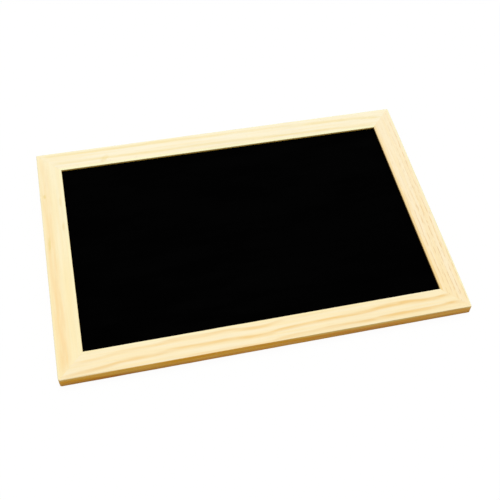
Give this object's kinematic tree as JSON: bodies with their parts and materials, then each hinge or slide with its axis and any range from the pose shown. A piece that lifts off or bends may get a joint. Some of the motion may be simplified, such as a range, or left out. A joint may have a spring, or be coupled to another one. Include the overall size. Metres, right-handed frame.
{
  "type": "slate writing board",
  "caption": "Hand slate for chalk: a flat mitred pine frame round a matt black writing panel, free-standing, to write on at a desk or lean against a wall.",
  "frame": {"origin": "middle of the back face, on the surface that the board lies on", "axes": "+X along the long sides to the right of the writing face, +Y across it towards the top rail, +Z out of the writing face"},
  "size_m": [0.3, 0.2, 0.01],
  "materials": {
    "pine": "satin",
    "slate_coat": "matte",
    "steel": "satin"
  },
  "bodies": {
    "root": {"bottom_rail": "pine", "framer_point_bottom_1": "steel", "framer_point_bottom_2": "steel", "framer_point_bottom_3": "steel", "framer_point_left_1": "steel", "framer_point_left_2": "steel", "framer_point_right_1": "steel", "framer_point_right_2": "steel", "framer_point_top_1": "steel", "framer_point_top_2": "steel", "framer_point_top_3": "steel", "left_stile": "pine", "right_stile": "pine", "top_rail": "pine", "v_nail_bottom_left_1": "steel", "v_nail_bottom_left_2": "steel", "v_nail_bottom_right_1": "steel", "v_nail_bottom_right_2": "steel", "v_nail_top_left_1": "steel", "v_nail_top_left_2": "steel", "v_nail_top_right_1": "steel", "v_nail_top_right_2": "steel", "writing_panel": "slate_coat"}
  },
  "joints": []
}
